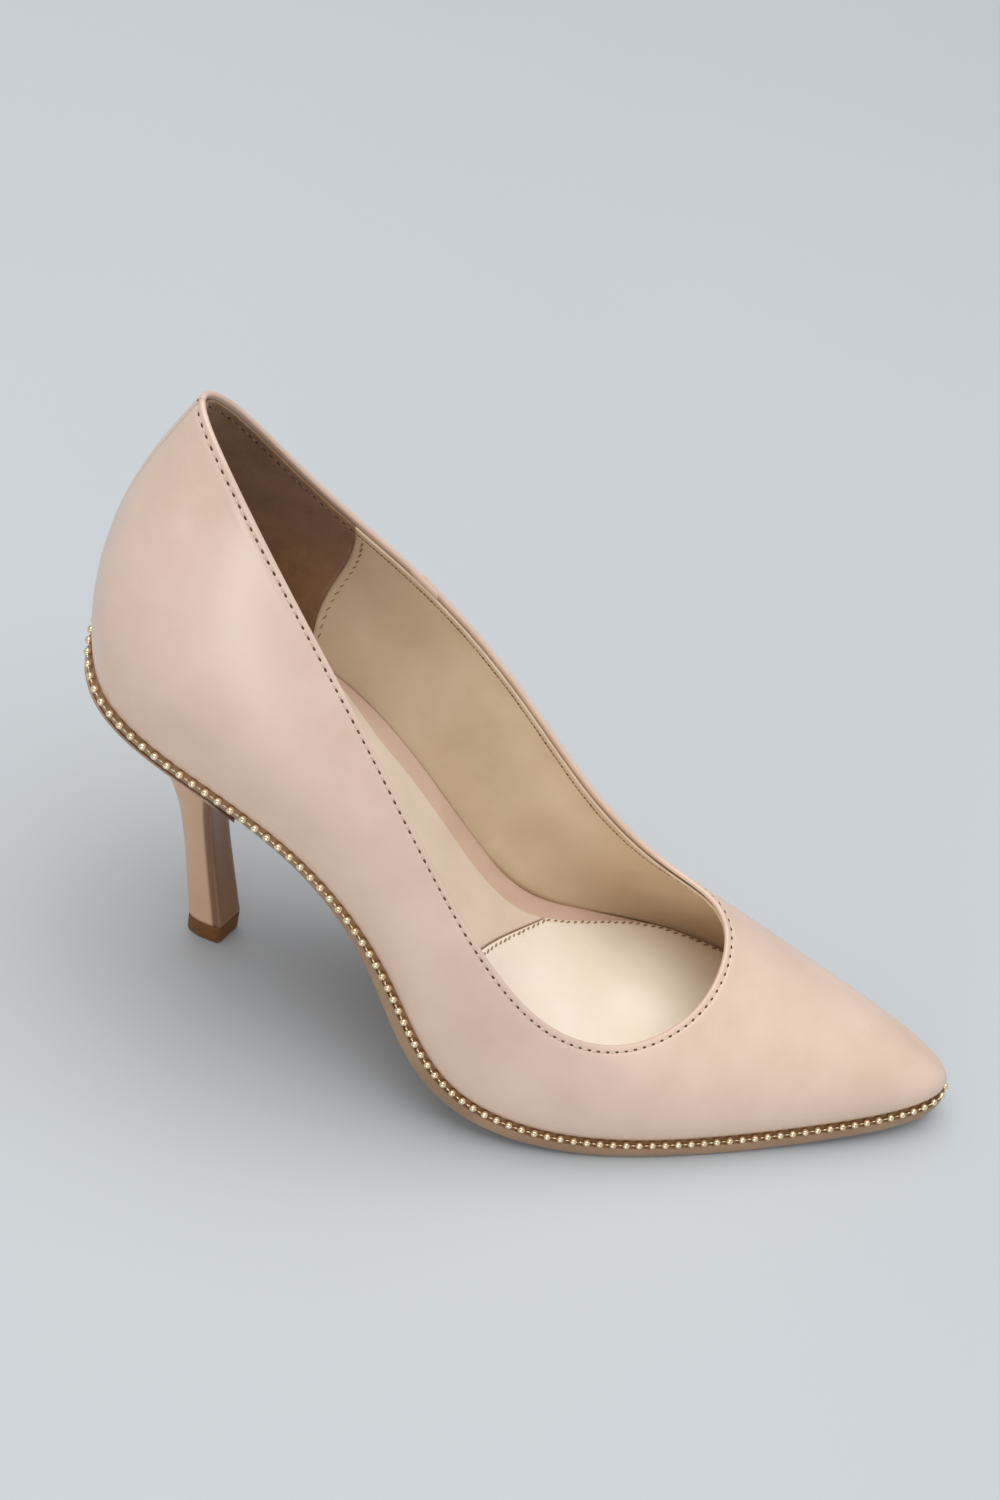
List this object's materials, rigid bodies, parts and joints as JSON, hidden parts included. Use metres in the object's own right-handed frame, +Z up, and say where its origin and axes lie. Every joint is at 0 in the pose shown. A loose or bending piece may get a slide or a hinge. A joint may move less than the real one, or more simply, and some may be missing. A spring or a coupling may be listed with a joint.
{
  "type": "high heel pump",
  "caption": "Pointed-toe slip-on pump with a slim high heel, low-cut topline and a fine ball chain set round the feather line.",
  "frame": {"origin": "on the ground, under the middle of the shoe's box", "axes": "+X towards the toe tip, +Y towards the medial (inner) side of the foot, +Z up"},
  "size_m": [0.2448, 0.0868, 0.1659],
  "materials": {
    "upper_leather": "smooth satin nude leather with a faint pearl",
    "lining_leather": "smooth golden beige lining",
    "heel_lining_suede": "brushed suede heel grip",
    "sock_leather": "smooth pinkish beige sock leather",
    "pad_leather": "soft cream leather over foam",
    "insole_cover": "smooth covered board",
    "fibre_board": "pressed fibre board",
    "cork": "granulated cork",
    "rand_leather": "dark brown edge strip",
    "gold_metal": "polished pale gold plating",
    "sole_unit": "tan painted sole edge",
    "steel": "plain steel",
    "heel_plastic": "moulded plastic heel body",
    "lift_plastic": "tan brown moulded lift",
    "thread": "twisted sewing thread"
  },
  "bodies": {
    "root": {"upper_vamp": "upper_leather", "upper_medial_quarter": "upper_leather", "topline_fold": "upper_leather", "heel_cover": "upper_leather", "vamp_lining": "lining_leather", "heel_lining": "heel_lining_suede", "heel_counter": "fibre_board", "toe_puff": "fibre_board", "seat_filler": "fibre_board", "insole_board": "insole_cover", "sock": "sock_leather", "forefoot_pad": "pad_leather", "cork_filler": "cork", "rand": "rand_leather", "ball_chain": "gold_metal", "outsole": "sole_unit", "shank": "steel", "shank_rivet_rear": "steel", "shank_rivet_front": "steel", "heel_screw": "steel", "heel_nail_1": "steel", "heel_nail_2": "steel", "heel_nail_3": "steel", "heel_nail_4": "steel", "heel_tube": "steel", "lift_dowel": "steel", "heel_core": "heel_plastic", "heel_lift": "lift_plastic"}
  },
  "joints": []
}
